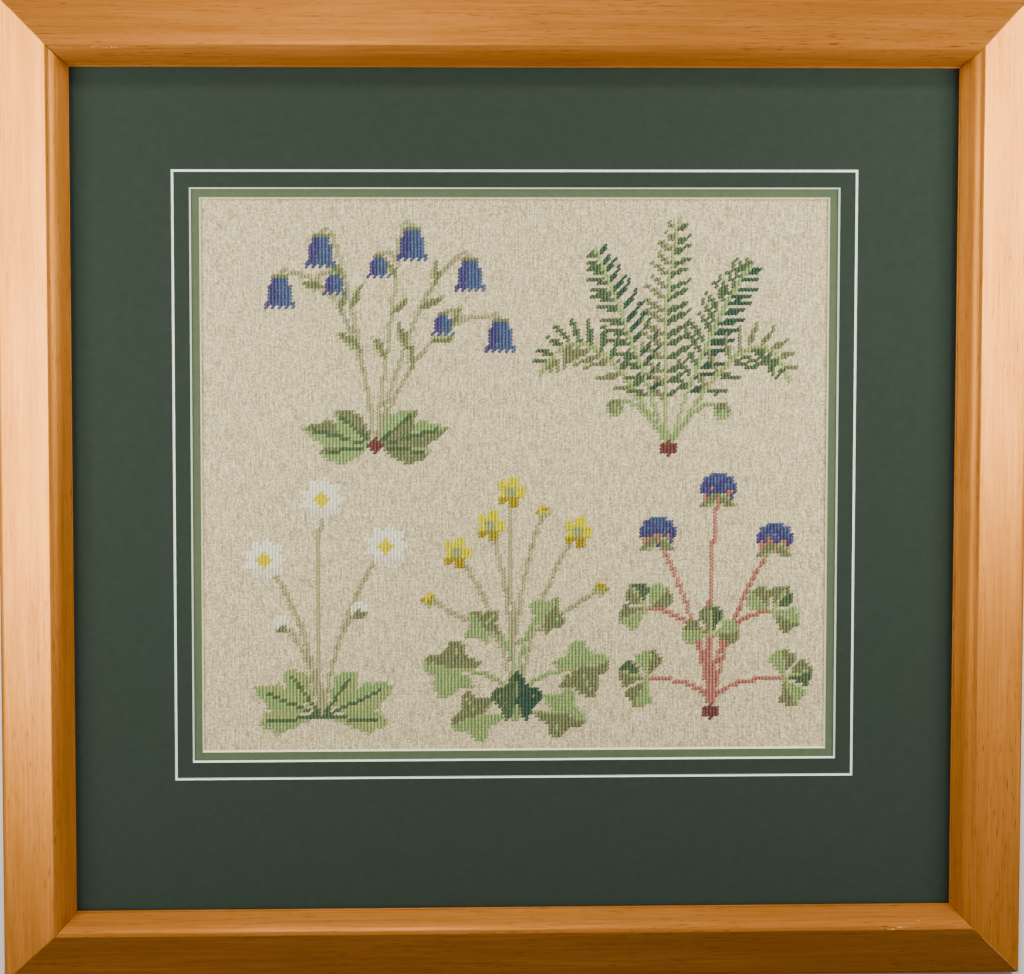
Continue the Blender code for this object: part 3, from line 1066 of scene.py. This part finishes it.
def make_floor():
    """Lay a plain pale floor under the part."""
    mesh = bpy.data.meshes.new("floor")
    mesh.from_pydata(rectangle(FLOOR_WIDTH, FLOOR_WIDTH, 0.0, 0.0), [], [(0, 1, 2, 3)])
    nodes = Nodes("floor_paint", 0.9)
    mesh.materials.append(nodes.finish((0.62, 0.62, 0.61, 1.0)))
    floor = link_object("floor", mesh)


def make_light(name, row, power):
    """Hang a soft light that faces its aim."""
    lamp = bpy.data.lights.new(name, "AREA")
    lamp.shape = "RECTANGLE"
    lamp.size, lamp.size_y = row["size"]
    lamp.energy = power
    light = bpy.data.objects.new(name, lamp)
    bpy.context.scene.collection.objects.link(light)
    light.location = row["place"]
    towards = Vector(row["aim"]) - Vector(row["place"])
    light.rotation_euler = towards.to_track_quat("-Z", "Y").to_euler()
    light.visible_camera = False
    return light


def make_sheen(name, row):
    """Hang a pair of lights that show only in gloss, the second on its own rails alone."""
    shared = make_light(name, row, row["power"])
    own = make_light(name + "_own", row, row["own_power"])
    for light in (shared, own):
        light.visible_diffuse = False
        light.data.color = SHEEN_COLOUR
    reached = bpy.data.collections.new(name + "_reaches")
    for piece in row["own"]:
        reached.objects.link(bpy.data.objects[piece])
    own.light_linking.receiver_collection = reached


def make_lights():
    """Hang every light. The one past the bottom edge shows in no gloss."""
    for name, row in LIGHTS.items():
        light = make_light(name, row, row["power"])
        light.visible_glossy = name != "light_bottom"
    for name, row in SHEENS.items():
        make_sheen(name, row)
    world = bpy.data.worlds.new("studio")
    bpy.context.scene.world = world
    world.use_nodes = True
    background = world.node_tree.nodes["Background"]
    background.inputs["Color"].default_value = (1.0, 1.0, 1.0, 1.0)
    background.inputs["Strength"].default_value = WORLD_STRENGTH


def make_camera():
    """Look down at the picture's face as the photograph does."""
    data = bpy.data.cameras.new("camera")
    data.sensor_fit = "HORIZONTAL"
    data.sensor_width = SENSOR_WIDTH
    data.lens = FOCAL_PIXELS / IMAGE_WIDTH * SENSOR_WIDTH
    camera = bpy.data.objects.new("camera", data)
    bpy.context.scene.collection.objects.link(camera)
    camera.location = CAMERA_PLACE
    camera.rotation_euler = [math.radians(angle) for angle in CAMERA_TURN]
    bpy.context.scene.camera = camera


def dress_node(node, material):
    """Give a CAD node that stays its finished material."""
    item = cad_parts[node]
    item.data.materials.clear()
    item.data.materials.append(material)


def build_scene():
    """Make every piece, the stage and the camera."""
    make_camera()
    quarter = math.pi / 2
    rails = ("rail_top", "rail_left", "rail_bottom", "rail_right")
    for index, name in enumerate(rails):
        wood = wood_material("honey_wood_" + name, (1.7 * index, 0.9 * index, 0.4 * index))
        make_rail(name, index * quarter, wood)
    make_mats()
    linen = make_linen()
    stitches = make_embroidery()
    dress_node("glass", glass_material())
    dress_node("backing_board", board_material())
    make_floor()
    make_lights()
    view = bpy.context.scene.view_settings
    view.view_transform = "AgX"
    view.look = "AgX - High Contrast"


build_scene()
